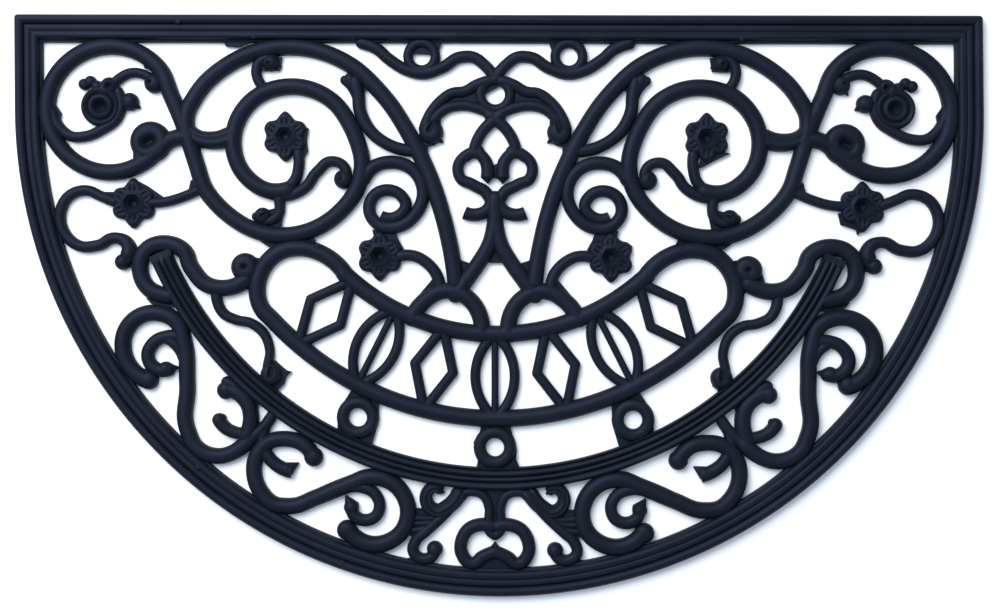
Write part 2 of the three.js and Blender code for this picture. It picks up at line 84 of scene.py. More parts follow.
# Driving sizes of the pattern, as in the part's own source
WIDTH = 762
DEPTH = 457
RIM_CORNER = 3
BAND_RADIUS = 288.8
BAND_HALF_ANGLE = 67
LOWER_FRAME_RADIUS = 241.4
LOWER_FRAME_HALF_ANGLE = 45
UPPER_FRAME_RADIUS = 175
UPPER_FRAME_HALF_ANGLE = 43
MOTIF_PITCH = 13.4
MOTIF_HALF_WIDTH = 15.5
MIDRIB_BAR = 5.5

# Places worked out from them
HALF_WIDTH = WIDTH / 2
TOP_EDGE = DEPTH / 2
ARC_Y = HALF_WIDTH - TOP_EDGE

# The section of the bars: a low upright wall, then a round crown, with grooves between its ribs
WALL = 3
CROWN_SIDES = 10
RIB_SIDES = 8
RIB_DEPTH = 1.1
END_TURNS = (20, 40, 58, 72, 83)
SAGITTA = 0.04
LONGEST_TURN = 110
STRAIGHT = 1e-3

# How round shapes are divided
DISC_SIDES = 32
EYE_SIDES = 20
FLOWER_SIDES = 108
RIM_ARC_STEPS = 220
RIM_CORNER_STEPS = 5
BAND_STEPS = 150
BAND_END = 1.3
BAND_END_START = BAND_END / 5
BAND_END_HEIGHT = 7.4
FRAME_STEPS = 90

# The rim's section: for each roll its two edges from the outside in, its lowest edge and its crown
RIM_ROLLS = table("start finish lows crown steps", [
    (0, 7.8, (4.4, 5.7), 9.5, 9),
    (7.8, 13.2, (5.7, 7.5), 8.3, 7),
    (13.2, 20, (7.5, 5), 9.4, 8),
    (20, 22, (5, 2.6), 4.8, 3),
])
# The reeded band's section, from its outer edge to its inner edge
BAND_ROLLS = table("start finish lows crown steps", [
    (0, 6.4, (3.6, 5.4), 9.1, 7),
    (6.4, 11, (5.4, 5.4), 8.3, 6),
    (11, 16.2, (5.4, 5.8), 9.3, 6),
    (16.2, 18.5, (5.8, 3.4), 7.2, 4),
])

# Bars of the left half: widths at the first and the last knot, and the knots of the middle line;
# then how the last end is finished, round unless it says flat, and how many ribs it has, else one.
BARS = table("name widths knots finish ribs", [
    ("loop_curl_foot", (11.5, 11.5), [(-281.5, 125), (-281.5, 118.5), (-281.5, 112)]),
    ("corner_loop", (13.2, 13.2), [(-246.5, 131.5), (-256, 130), (-264.5, 124), (-276, 113.5),
     (-306, 103.5), (-356, 153.5), (-306, 203.5), (-268.5, 188.5), (-255, 160.5), (-245.5, 137.5),
     (-236.8, 110), (-230.3, 91.5), (-216, 74.2), (-173.3, 54.4), (-129.5, 67.5), (-105.5, 104.5),
     (-112.5, 137.5), (-132.5, 163.5), (-163, 172), (-194, 159.5), (-207.5, 130.5), (-197, 100.5),
     (-175, 89), (-164, 90.5)]),
    ("flower_stem", (8.8, 8.8), [(-178, 88), (-166, 91), (-158.5, 98), (-155.5, 108), (-155.5, 119)]),
    ("outer_arc", (13.2, 13.2), [(-241.5, 129.5), (-244.8, 147.5), (-236.8, 165.2), (-208.6, 190.9),
     (-163, 203.3), (-117.5, 191), (-87.5, 164), (-67.5, 134), (-51, 100), (-38.5, 60), (-31, 18)]),
    ("cross_bar", (12, 15.5), [(-244.5, 139), (-236, 131.3), (-226.5, 129.2), (-211, 132.2)],
     "round", 2),
    ("spiral_branch", (9.2, 8.2), [(-180, 88), (-163, 86), (-150, 92.5), (-141, 104.5), (-129.5, 113),
     (-119.5, 109), (-117.5, 100)]),
    ("spiral_hook", (9, 7.5), [(-174, 90.5), (-170.5, 80), (-172, 70), (-182, 65.5), (-189, 69)]),
    ("arc_hook", (8.4, 8), [(-183, 171), (-187.5, 177), (-189, 184), (-186.5, 191), (-180, 194.5),
     (-174.5, 192.5)]),
    ("leaf_bar", (10.5, 9.5), [(-110.5, 176), (-108.5, 168), (-106.5, 152), (-97.5, 136),
     (-84.5, 126.5), (-69.5, 122), (-57.5, 122)]),
    ("leaf_lobe", (7.5, 5), [(-118.8, 177), (-113.5, 171), (-110, 163), (-107.5, 153)]),
    ("leaf_middle", (10.5, 5), [(-114.5, 177.5), (-111, 170), (-108, 158)]),
    ("coil_outer", (10.8, 9.2), [(-103.5, 99.5), (-95.5, 109), (-82.5, 112.5), (-65.5, 107), (-57, 92),
     (-61.5, 73.5), (-77.5, 61.5), (-92.5, 63.5), (-99.5, 76.5), (-94.5, 87), (-84.5, 90.5),
     (-74.5, 86.5), (-70.5, 78), (-76, 70.5), (-90, 70)], "flat"),
    ("coil_flower_stem", (9, 9.5), [(-75, 38.5), (-65.5, 39), (-53.5, 33), (-46, 23.5), (-43.5, 11.5)]),
    ("half_loop", (13.2, 13.2), [(-65.5, -10.5), (-58.5, 0.5), (-36.5, 11.5), (-19.5, 4), (-12, -8),
     (-10.5, -22)]),
    ("top_wave", (9.5, 9.2), [(-105.5, 206.5), (-94.5, 202.5), (-83.5, 193.5), (-70.5, 185.5),
     (-57.5, 182.5), (-42.5, 187), (-27.5, 195.5), (-17.5, 195.5), (-8, 189), (0.5, 178)]),
    ("leaf_arm", (9, 8.5), [(-4.5, 177), (-14, 174), (-24, 168.5), (-34, 167), (-44, 160), (-52, 149.5),
     (-56.2, 139)]),
    ("leaf_arm_low", (8.5, 8.5), [(-0.5, 149), (-11.5, 154.5), (-26.5, 157.5), (-39.5, 154.5),
     (-48.5, 146)]),
    ("tulip", (9.5, 9), [(4.5, 150), (-3.5, 144), (-11.5, 135), (-16.5, 123)]),
    ("heart", (8.5, 10.5), [(-12.5, 121.5), (-22.5, 118.5), (-29.3, 109), (-27.5, 100.5), (-17.5, 95),
     (-6.5, 88), (-3.5, 80), (-7, 74.5), (-14.5, 71.5), (-24, 73)], "flat"),
    ("heart_hook", (8, 11), [(-22.5, 117), (-14.5, 120), (-8, 114.5), (-5.8, 106.5), (-6, 101)],
     "flat"),
    ("v_leg", (12.5, 12.5), [(0.5, 84), (-0.5, 64), (-4.5, 48), (-12.5, 34), (-22.5, 20), (-31.5, 8)]),
    ("s_bar_right", (8, 8), [(-273, 79.5), (-263.5, 80), (-248.5, 84), (-232.5, 91.5)]),
    ("s_bar", (8.6, 9.4), [(-302, 80), (-313, 84.5), (-324.5, 89), (-337.5, 85.5), (-345.5, 72.5),
     (-342.5, 55), (-330.5, 45), (-316, 45.5), (-302, 51.5), (-292, 48), (-289, 39.5), (-293.5, 33.5)]),
    ("s_bar_bend", (7, 12.5), [(-306, 49.6), (-297.5, 50.3), (-291.8, 46), (-291.3, 38.8)]),
    ("band_hook", (13.2, 13.2), [(-258.5, 5.8), (-265, 6.8), (-275, 11.5), (-282, 26), (-277, 42),
     (-261.5, 47.5), (-248, 42.5), (-240.5, 27.5), (-229.5, 15.5), (-213, 12.5), (-198, 18.5)]),
    ("c_bowl_tip", (7.5, 12), [(-174, -84), (-182, -96), (-193, -106), (-205, -115.5)]),
    ("c_scroll", (12.5, 13.5), [(-195, -107.5), (-205, -116), (-219.5, -120.5), (-236.5, -114.5),
     (-244.5, -99.5), (-244.5, -62.5), (-246.5, -32), (-253.5, -14), (-266.5, -8), (-282, -10),
     (-293, -20.5), (-296, -35), (-290.5, -50.5), (-277, -61)]),
    ("c_inner_root", (8, 9), [(-248, -43), (-251.5, -35.5), (-258.5, -29)]),
    ("c_inner", (10, 11), [(-250.5, -26), (-259, -26), (-271, -31), (-276, -42), (-271, -51),
     (-259.5, -52.5)]),
    ("blob_bar", (12.2, 13.2), [(-213, -67.5), (-203.5, -71), (-196, -79), (-193.5, -90),
     (-197, -104)]),
    ("branch_lobe", (9.5, 9.5), [(-212.5, -62), (-208.5, -64), (-204.5, -68)]),
    ("small_hook", (11, 9), [(-219, -92), (-213.5, -98.5), (-205, -102), (-194, -102)]),
    ("thin_s", (8.8, 7.5), [(-220.5, 12.5), (-220, 0.5), (-215, -8), (-206, -12.5), (-193, -15.5),
     (-183.5, -23), (-178.5, -36.5), (-180.5, -50.5), (-181, -57)]),
    ("low_heart", (12.5, 13), [(-144, -120), (-151, -111), (-165, -106.5), (-180, -109.5), (-189, -120),
     (-191, -134.5), (-185, -149.5), (-176, -157.7), (-163, -159.5), (-138.2, -151.2),
     (-115.8, -141.7)]),
    ("low_loop", (13, 13.5), [(-138.2, -151.2), (-115.8, -141.7), (-97.5, -135.8), (-81.5, -140),
     (-71.5, -151), (-68.5, -165), (-73, -178), (-83.5, -186.5), (-97.5, -189), (-109.5, -184.5),
     (-116.5, -177)]),
    ("low_loop_inner", (9, 10), [(-121.5, -146.5), (-105.5, -144), (-95, -149), (-91, -158.5),
     (-94.5, -167), (-103, -170), (-111, -166.5), (-113.5, -159.5)]),
    ("low_hook", (8, 11.5), [(-177, -88), (-182.5, -98), (-184, -110), (-179, -121.5), (-170, -129),
     (-161, -132)], "flat"),
    ("acanthus_top", (9, 13), [(-44.5, -143.6), (-50, -144), (-54, -149), (-53, -157), (-45.5, -162),
     (-37, -158.5), (-28.5, -149)], "round", 3),
    ("acanthus_mid", (5, 5), [(-66, -166.5), (-57, -168), (-47, -167), (-38.5, -161)]),
    ("acanthus_fill", (5, 5), [(-66.5, -171), (-56, -172), (-46.5, -169.5), (-37.5, -162.5)]),
    ("acanthus_foot", (5.5, 5), [(-66.5, -177), (-58, -176.5), (-48, -172), (-38.5, -164)]),
    ("acanthus_low", (8.5, 9.5), [(-24.5, -148.5), (-33.5, -158), (-43, -168), (-53, -177),
     (-62.5, -186), (-64.7, -193), (-59, -199.5), (-50.5, -198.5), (-47, -193)]),
    ("centre_arm", (7.6, 7.6), [(-30.5, -153), (-18.5, -146.5), (-9, -149.5), (-4.8, -158),
     (-4.8, -170), (-4.6, -177), (0.5, -180.8)]),
    ("kidney", (10.5, 10), [(-2.5, -173.5), (-11, -172.5), (-20.5, -176), (-26, -184.5), (-26, -195.5),
     (-18, -203), (-9, -197.3), (0.5, -193.5)]),
    ("frame_end", (13.4, 13.6), [(-117.5, 22.5), (-138, 40.5), (-155, 44.5), (-171, 41), (-183.5, 29),
     (-188.5, 13.5), (-186, -1.5), (-175.3, -13.6), (-161.5, -26.9)]),
    ("button_wrap", (8.8, 8), [(-355.5, 164.5), (-352, 151.5), (-346.5, 139.5), (-336.5, 132),
     (-325.5, 132), (-311, 138), (-300, 146.5), (-296.5, 157.5), (-299, 167.5)]),
    ("button_stem", (7.8, 8), [(-305, 170.5), (-298, 178), (-288, 182.5), (-278, 181), (-269.5, 175)]),
])

# Curls, buds and rounded ends of the left half.
CURLS = table("name x y radius", [
    ("loop curl", -273.1, 127.7, 16.4),
    ("rosette neck", -309, 169.5, 7),
    ("bud ring", -305.8, 171.8, 7.2),
    ("bud tip", -326, 173.2, 4.6),
    ("bud middle", -321, 175.5, 4.6),
    ("bud root", -315.5, 171.5, 4.8),
    ("right bud", -289.7, 159.5, 7.2),
    ("stem curl", -270.5, 174, 7.6),
    ("branch curl", -119.8, 98.8, 7.6),
    ("hook curl", -184, 69.5, 6.8),
    ("arc hook curl", -177.5, 190.5, 6.6),
    ("arm curl", -50.3, 136.4, 9.6),
    ("band hook curl", -198, 29, 11.3),
    ("thin curl", -177.2, -55.8, 8.7),
    ("low leaf", -113.5, -160, 6),
    ("scroll leaf", -261.5, -52, 6),
    ("small hook corner", -216.6, -90.4, 3.4),
    ("branch end", -213.5, -68.5, 7.2),
    ("low curl", -47.3, -192, 6.4),
    ("s curl", -295.8, 32.5, 6.4),
    ("scroll end", -275, -60.8, 7.6),
    ("heart end", -143.5, -120.5, 7.6),
    ("loop end", -117, -177.8, 8),
])

# Eyes of the left half, then those on the middle line: how far the hollow reaches round its middle,
# and for an oval eye the middle of its far end.
EYES = table("name x y radius to", [
    ("loop curl eye", -275.8, 126.5, 7.2, (-272.5, 128.3)),
    ("bud ring eye", -305.5, 171.5, 4.8),
    ("bud tip eye", -321.6, 172.4, 2.8),
    ("right bud eye", -295.5, 159.5, 3.6),
    ("stem curl eye", -273, 174.8, 3),
    ("branch curl eye", -121.7, 98.5, 2.3, (-121.7, 104.5)),
    ("hook curl eye", -184, 69.5, 2.6, (-179.5, 71.5)),
    ("arc hook eye", -179, 189.8, 3),
    ("arm curl eye", -51.5, 137.4, 3.6, (-48.8, 144)),
    ("leaf arm hollow", -17.5, 168, 3),
    ("band hook eye", -198, 29, 3.8),
    ("thin curl eye", -177.3, -56.5, 3.5, (-177, -50.5)),
])
MIDDLE_EYES = table("name x y radius", [
    ("centre slot", 0, -176, 3.4),
])

# Rings of the left half, then those on the middle line.
RINGS = table("name x y radius width", [
    ("top ring", -58, 196, 10.8, 7.8),
    ("band ring", -108.3, -89, 12, 9.8),
])
MIDDLE_RINGS = table("name x y radius width", [
    ("middle ring", 0, 166, 11.7, 8.2),
    ("middle band ring", 0, -111.5, 12, 9.8),
])

# Flowers of the left half, each with a petal pointing up.
FLOWERS = table("name x y", [
    ("stem flower", -287, 79),
    ("spiral flower", -166, 132.5),
    ("coil flower", -91, 38.5),
])
ROSETTE = {"name": "rosette", "x": -312.5, "y": 155.5}

# The petals: how far they reach, those that point up or down a little further, how deep the notch
# between two is, the oval each is drawn on and its two veins; then the ring round the middle and the
# dimple in it. A petal counts as upright where the cosine of its direction is over UPRIGHT.
PETALS = 6
PETAL_REACH = 18.2
TIP_REACH = 20
TIP_SPREAD = 9
UPRIGHT = 0.9
PETAL_NOTCH = 0.17
NOTCH_POWER = 3
PETAL_MIDDLE = 12.6
PETAL_LENGTH = 13.5
PETAL_HALF_WIDTH = 6.3
PETAL_GROUND = 5.8
PETAL_RISE = 1.4
PETAL_EDGE = 1.6
PETAL_BLUNTNESS = 4
VEIN_PLACE = 0.3
VEIN_WIDTH = 0.8
VEIN_DEPTH = 1.3
VEINS_FROM = 9
VEINS_TO = 15.5
VEIN_FADE = 2
FLOWER_RING = 7.3
RING_RISE = 1.3
RING_SPREAD = 1.4
DIMPLE_REACH = 5.8
DIMPLE_WALL = 4.6
DIMPLE_DEPTH = 4.6

# The rings of points of a flower, as shares of its outline from the outside in: first, last and how
# many, at the lip and on the face. Further in they grow round, and the lip falls off by a high power.
LIP_RINGS = (1, 0.94, 4)
FACE_RINGS = (0.9, 0.06, 24)
ROUND_REACH = 0.9
LIP_POWER = 16

# Small leaf tips of the left half: where each grows from, its point, and its width at the root.
TIPS = table("name root point width", [
    ("right bud tip", (-289.5, 159), (-281.4, 154.6), 14),
    ("arc hook tip", (-175, 190), (-168.8, 187.5), 8),
    ("arm curl tip", (-49, 133), (-40.8, 128.2), 12),
    ("thin curl tip", (-178, -58), (-174.5, -66.5), 10),
    ("low hook tip", (-163.5, -130), (-155.3, -125.3), 11.5),
    ("low leaf tip", (-113.5, -158.8), (-118.2, -150.6), 12),
    ("scroll leaf tip", (-260, -52), (-251, -50.5), 11),
    ("kidney point", (-1.5, -193), (0.3, -185.8), 8),
    ("heart hook tip", (-6, 101.3), (-5.7, 96), 11),
])

# Flash left in the mould's corners, as flat low plates: the corners of each, in their order.
WEBS = table("name corners", [
    ("arc hook", [(-190, 198), (-189, 187), (-182.5, 184), (-170, 184.5), (-168.5, 195)]),
    ("leaf bar", [(-112, 178), (-104, 168), (-99.5, 171), (-106, 179), (-112, 182)]),
    ("spiral hook", [(-173, 76), (-185, 73), (-191, 67.5), (-190, 60), (-169.5, 60), (-166, 78)]),
    ("loop and frame end", [(-144, 53.5), (-140, 46), (-150, 44), (-175, 43), (-181, 46), (-190, 52.5),
     (-170, 57)]),
    ("button stem", [(-279, 191.5), (-278, 186), (-268, 184), (-270, 193)]),
    ("loop crossing below", [(-262, 137), (-257, 135.5), (-253, 138), (-250, 131), (-262, 129)]),
    ("loop flash", [(-352, 160), (-349, 157), (-344.5, 150.5), (-346, 142), (-354, 142)]),
    ("coil and flower", [(-97, 59), (-95, 50), (-84, 45), (-72, 44), (-76.5, 52), (-79.5, 61)]),
    ("stem and half loop", [(-49.5, 20.5), (-60, 8), (-66, 2), (-52, 6), (-44, 16)]),
    ("stem and outer arc", [(-45, 18), (-44, 10), (-35, 10), (-36, 18)]),
    ("outer arc and leg", [(-28, 36), (-32, 10), (-24, 10), (-18, 30), (-20.5, 33.5)]),
    ("leaf arm", [(-46, 158), (-30, 161), (-14, 160), (-12, 173), (-35, 168)]),
    ("arm curl", [(-43, 147), (-54, 148), (-60, 134), (-55, 124), (-48, 126), (-42, 130)]),
    ("ring and rim", [(-48, 208), (-47, 197), (-44.5, 200), (-42, 208)]),
    ("s curl and band hook", [(-290, 46), (-292, 28), (-287.5, 28), (-280, 38), (-283, 44)]),
    ("stem and loop", [(-241.3, 97.3), (-238.5, 98.5), (-234, 92), (-243.5, 88)]),
    ("band hook and scroll", [(-277, 4), (-273, -0.5), (-262, -4), (-250, -2), (-252, 6)]),
    ("hook curl and frame", [(-200, 38), (-200, 14), (-193, 9), (-188, 20), (-184, 36)]),
    ("thin curl", [(-186, -58), (-176, -66), (-170, -62), (-172.5, -49)]),
    ("branch and band", [(-208, -57), (-211, -61), (-190, -84), (-186, -78)]),
    ("scroll and leaf", [(-266, -57), (-277, -50), (-281, -56), (-270, -64)]),
    ("acanthus", [(-64, -160), (-68, -181), (-60, -186), (-40, -168), (-52, -160)]),
    ("acanthus and rim", [(-69, -199.5), (-66, -206), (-49, -206), (-49, -199)]),
    ("band and arms", [(-33, -143), (-20, -147), (0, -151), (0, -140), (-30, -139)]),
    ("band ring left", [(-113.5, -67.5), (-121, -79), (-124.5, -88), (-124.5, -99), (-118, -99),
     (-119, -89), (-114, -78), (-107, -75), (-107, -70)]),
    ("band ring right", [(-99, -77), (-91.5, -77), (-92, -93), (-97.5, -111), (-108, -108),
     (-103, -103), (-97, -96), (-97, -84)]),
    ("acanthus top", [(-50, -141), (-44, -141), (-39.5, -148), (-45, -149)]),
])

# Flash that is on one side only, or on the middle line.
SINGLE_WEBS = table("name corners", [
    ("leg fork", [(-5, 33.5), (5, 33.5), (2, 44), (-2, 44)]),
    ("middle ring", [(-9, 166), (-7.5, 166.5), (4, 173), (-2, 176), (-8, 172)]),
    ("left top ring", [(-66, 203), (-65, 198), (-50, 197.5), (-49, 203), (-57, 206)]),
    ("left stem flower", [(-284, 97), (-280, 80), (-268, 78), (-263, 84), (-276, 93)]),
    ("left spiral flower", [(-161, 145), (-147.5, 139), (-149, 130), (-148, 121), (-151, 116),
     (-160, 120)]),
    ("left flower and bar", [(-311, 88), (-309, 78), (-303, 76), (-303, 88)]),
    ("right spiral flower", [(159, 108.5), (163, 109.5), (172, 114.5), (184.5, 120.5), (163, 124)]),
    ("right coil flower", [(94, 54), (108, 47.5), (104, 42), (96, 44)]),
    ("right stem flower", [(268, 74), (270, 65), (282, 61), (283, 57), (288, 62), (280, 74)]),
    ("left thin curl", [(-172.5, -68.4), (-166.9, -63.1), (-165, -57.1), (-161, -53.3), (-165, -52.4),
     (-174.5, -44.3), (-178, -54)]),
    ("left rim and outer arc", [(-215.5, 208), (-213, 203.5), (-203, 203), (-190, 208)]),
    ("right stem curl", [(264, 171), (263.5, 168.5), (272, 168.5), (276.7, 165.6), (275.3, 172)]),
    ("kidneys", [(-12, -198), (12, -198), (12, -209), (-12, -209)]),
    ("heart hooks", [(-3.5, 110), (3.5, 112), (3.5, 99.5), (-3.5, 101)]),
    ("right hook curl", [(206, 36.5), (211, 20), (200, 17), (198, 34)]),
    ("centre slot", [(-4, -178), (4, -178), (6, -140), (-6, -140)]),
    ("middle band ring left", [(-10.7, -93), (-12, -99.7), (-17, -107.7), (-15.3, -114.3),
     (-13.3, -121), (-14.7, -128.5), (-4, -128.5), (-9, -118), (-9, -104), (-4, -93)]),
    ("middle band ring right", [(11.3, -93), (15.3, -106.3), (17.3, -113), (16.7, -121), (20, -128.5),
     (4, -128.5), (9, -118), (9, -104), (4, -93)]),
])
WEB_HEIGHT = 3.5

# Vent pips on the rim and the bars.
PIPS = table("name x y", [
    ("rim top left", -250, 222.5),
    ("rim top left, inner", -190, 211),
    ("rim top middle, inner", -31, 212),
    ("rim top middle", -2, 225),
    ("rim left", -356, 29),
    ("left scroll", -235, -129),
    ("left frame end", -140, 45.5),
    ("rim below", -120, -203),
    ("right frame end", 146, 45),
    ("rim top right, inner", 193, 210),
])
PIP_PROFILE = [(2.4, 4), (2.4, 8.6), (1.9, 9.2), (1.2, 9.35), (0.4, 9.4)]

# What cuts an eye: how steep its funnel is, how high it reaches, its narrowest share, the power of
# its curve and its levels
EYE_STEEPNESS = 0.95
TOOL_TOP = 14
EYE_NARROWEST = 0.1
EYE_CURVE = 1.25
EYE_LEVELS = 9

TIP_WIDTH = 0.8
SHARPEST_CORNER = 0.4
ROSETTE_PROFILE = [
    (16, 0), (16, 3), (15.6, 5.6), (14.7, 7.4), (13.3, 8.2), (11.8, 7.6), (10.6, 6), (9.6, 7.6),
    (8.4, 8.7), (7.2, 8.9), (6, 8), (5.1, 6.1), (4.1, 4.5), (3, 3.1), (1.8, 1.8), (0.4, 0.9),
]

# The floor, and the camera over it, in metres and degrees
FLOOR_REACH = 3
FLOOR_DROP = -0.0003
CAMERA_PLACE = (0.051, -0.005, 1.3996)
CAMERA_TURN = (0.236, 1.867, 0.404)
CAMERA_SENSOR = 36
LAMP_PLACE = (-0.85, 1.05, 1.6)
LAMP_SIZE = (1.9, 1.5)

# Up to this many degrees between two faces the surface is smooth.
SHARP_ANGLE = 38

# The rubber: the size of its blooms and their range in the noise, how far its crumb stands up, and
# how it shines. The floor under it is matt paper.
BLOOM_SIZE = 38 * MM
BLOOM_RANGE = (0.3, 0.72)
CRUMB_HEIGHT = 0.12 * MM
CRUMB_STRENGTH = 0.35
RUBBER_IOR = 1.52
RUBBER_SPECULAR = 0.11
PAPER_ROUGHNESS = 0.9


def linear(hex_colour):
    """An sRGB colour such as 1D2129 as linear red, green, blue and an alpha of 1."""
    parts = np.array([int(hex_colour[i:i + 2], 16) for i in (0, 2, 4)]) / 255
    low = parts / 12.92
    high = ((parts + 0.055) / 1.055) ** 2.4
    return (*np.where(parts <= 0.04045, low, high).tolist(), 1.0)


class DoormatSizes(bpy.types.PropertyGroup):
    """Sizes of the mat that can be changed without redrawing its pattern."""

    rim_width: FloatProperty(
        name="Rim width", description="Width of the rim of rolls round the mat",
        default=22 * MM, unit="LENGTH", subtype="DISTANCE")
    band_width: FloatProperty(
        name="Band width", description="Width of the reeded band that follows the round edge",
        default=17.9 * MM, unit="LENGTH", subtype="DISTANCE")
    frame_bar: FloatProperty(
        name="Frame bar", description="Width of the two long bars of the arched frame",
        default=13.6 * MM, unit="LENGTH", subtype="DISTANCE")
    motif_bar: FloatProperty(
        name="Motif bar", description="Width of the lozenges and leaves in the arched frame",
        default=8 * MM, unit="LENGTH", subtype="DISTANCE")
    motif_count: IntProperty(
        name="Motifs", description="How many lozenges and leaves the arched frame holds",
        default=7, min=1, max=9)
    eye_floor: FloatProperty(
        name="Eye floor", description="Thickness left under the eyes of the curls",
        default=3 * MM, unit="LENGTH", subtype="DISTANCE")
    lean: FloatProperty(
        name="Lean", description="How far the round edge is pushed aside where the mat lies",
        default=-2.4 * MM, unit="LENGTH", subtype="DISTANCE")
    sway: FloatProperty(
        name="Sway", description="How much further its two ends are pushed aside",
        default=-3.4 * MM, unit="LENGTH", subtype="DISTANCE")


class DoormatLooks(bpy.types.PropertyGroup):
    """Colours and light."""

    rubber_dark: FloatVectorProperty(
        name="Rubber, dark", description="The darker colour of the mottled rubber",
        default=linear("0C1017"), size=4, subtype="COLOR", min=0, max=1)
    rubber_pale: FloatVectorProperty(
        name="Rubber, pale", description="The paler colour of the mottled rubber",
        default=linear("11161E"), size=4, subtype="COLOR", min=0, max=1)
    roughness: FloatProperty(
        name="Roughness", description="How matt the rubber is",
        default=0.5, min=0, max=1, subtype="FACTOR")
    grain: FloatProperty(
        name="Grain", description="Size of the grain of the moulded skin",
        default=1.1 * MM, unit="LENGTH", subtype="DISTANCE")
    floor: FloatVectorProperty(
        name="Floor", description="Colour of the floor under the mat",
        default=linear("D8DFE6"), size=4, subtype="COLOR", min=0, max=1)
    lamp_power: FloatProperty(
        name="Softbox", description="Power of the softbox beside the mat",
        default=82, min=0, unit="POWER")
    sky: FloatProperty(
        name="Surround", description="Strength of the even light from all round",
        default=0.8, min=0)
    lens: FloatProperty(
        name="Lens", description="Focal length of the camera",
        default=63.95, min=1, unit="CAMERA")


def polar(radius, degrees, x=0.0, y=ARC_Y):
    """Points round (x, y), at angles measured anticlockwise from straight down."""
    angle = np.radians(degrees)
    return np.stack([x + radius * np.sin(angle), y - radius * np.cos(angle)], -1)


def circle_through(a, b, c):
    """The circle through three points: its centre, and its sense, 0 where they lie on one line."""
    first, second = b - a, c - b
    cross = first[0] * second[1] - first[1] * second[0]
    if abs(cross) < STRAIGHT * np.hypot(*first) * np.hypot(*second):
        return a, 0.0
    squares = np.array([a @ a, b @ b, c @ c])
    rises = np.array([b[1] - c[1], c[1] - a[1], a[1] - b[1]])
    runs = np.array([c[0] - b[0], a[0] - c[0], b[0] - a[0]])
    return np.array([squares @ rises, squares @ runs]) / (2 * cross), np.sign(cross)


def sweep(circle, p, q):
    """How far round the circle it is from p to q, signed, in radians."""
    centre, sense = circle
    if sense == 0:
        return 0.0
    (px, py), (qx, qy) = p - centre, q - centre
    return sense * ((np.arctan2(qy, qx) - np.arctan2(py, px)) * sense % (2 * np.pi))


def along(circle, p, q, share):
    """The points at those shares of the way from p to q, round the circle or straight."""
    centre, sense = circle
    if sense == 0:
        return p + (q - p) * share[:, None]
    turn = sweep(circle, p, q) * share
    x, y = p - centre
    return centre + np.stack([x * np.cos(turn) - y * np.sin(turn), x * np.sin(turn) + y * np.cos(turn)], -1)


def chords(circle, p, q):
    """How many chords from p to q stay near enough to the circle."""
    centre, sense = circle
    if sense == 0:
        return 1
    step = 2 * np.arccos(1 - SAGITTA / np.hypot(*(p - centre)))
    return int(np.ceil(abs(sweep(circle, p, q)) / step))


def middle_line(knots):
    """A smooth line through the knots. Between two of them it slides from the circle through the
    knot before and these two, to the circle through these two and the knot after."""
    knots = np.array(knots, float)
    spans = []
    for i in range(len(knots) - 1):
        p, q = knots[i], knots[i + 1]
        before = circle_through(knots[i - 1], p, q) if i > 0 else None
        after = circle_through(p, q, knots[i + 2]) if i + 2 < len(knots) else None
        first = before or after or (p, 0.0)
        last = after or before or (p, 0.0)
        steps = max(chords(first, p, q), chords(last, p, q))
        share = np.arange(steps) / steps
        weight = np.sin(share * np.pi / 2)[:, None] ** 2
        spans.append(along(first, p, q, share) * (1 - weight) + along(last, p, q, share) * weight)
    return np.vstack([*spans, knots[-1]])


def lofted(loops, closed=False):
    """A closed surface through a row of loops, an array of loops by points by coordinates, each
    joined to the next by quads. An open row is shut at both ends, and a closed one meets itself."""
    count, size = loops.shape[:2]
    index = np.arange(count * size).reshape(count, size)
    nearer = index if closed else index[:-1]
    farther = np.roll(index, -1, 0) if closed else index[1:]
    quads = np.stack([nearer, np.roll(nearer, -1, 1), np.roll(farther, -1, 1), farther], -1)
    faces = quads.reshape(-1, 4).tolist()
    if not closed:
        faces += [index[0, ::-1].tolist(), index[-1].tolist()]
    return loops.reshape(-1, 3), faces


def sections(line, sides, half, ribs=1):
    """The bar's sections along a line: x = half cos a to each side and z = wall + half sin a, for
    a from 0 to a half turn, on two upright walls that stand on the floor. With several ribs, z
    also falls by depth sin a cos2 (a half turn of the share of the width, for each rib)."""
    angle = np.linspace(0, np.pi, (CROWN_SIDES if ribs == 1 else RIB_SIDES * ribs) + 1)
    groove = np.cos(np.pi * ribs * (1 - np.cos(angle)) / 2) ** 2 * np.sin(angle) * (ribs > 1)
    across = np.concatenate([[1], np.cos(angle), [-1]])
    rise = np.concatenate([[0], np.sin(angle), [0]])
    base = np.concatenate([[0], WALL - RIB_DEPTH * groove, [0]])
    plane = line[:, None] + sides[:, None] * (half[:, None] * across)[..., None]
    crown = np.minimum(half, THICKNESS - WALL)
    height = base + crown[:, None] * rise
    return np.concatenate([plane, height[..., None]], -1)


def left_of(line, closed=False):
    """The unit vector to the left of the line at each of its points."""
    if closed:
        ahead = np.roll(line, -1, 0) - np.roll(line, 1, 0)
    else:
        ends = np.arange(len(line))
        ahead = line[np.minimum(ends + 1, len(line) - 1)] - line[np.maximum(ends - 1, 0)]
    ahead /= np.hypot(*ahead.T)[:, None]
    return np.stack([-ahead[:, 1], ahead[:, 0]], -1)


def round_end(point, side, half, outward):
    """The stations of a round end: r cos t wide, r sin t further out, for t up to a quarter turn."""
    turns = np.radians(END_TURNS)
    ahead = np.array([side[1], -side[0]]) * outward
    line = point + np.outer(half * np.sin(turns), ahead)
    return line, np.tile(side, (len(turns), 1)), half * np.cos(turns)


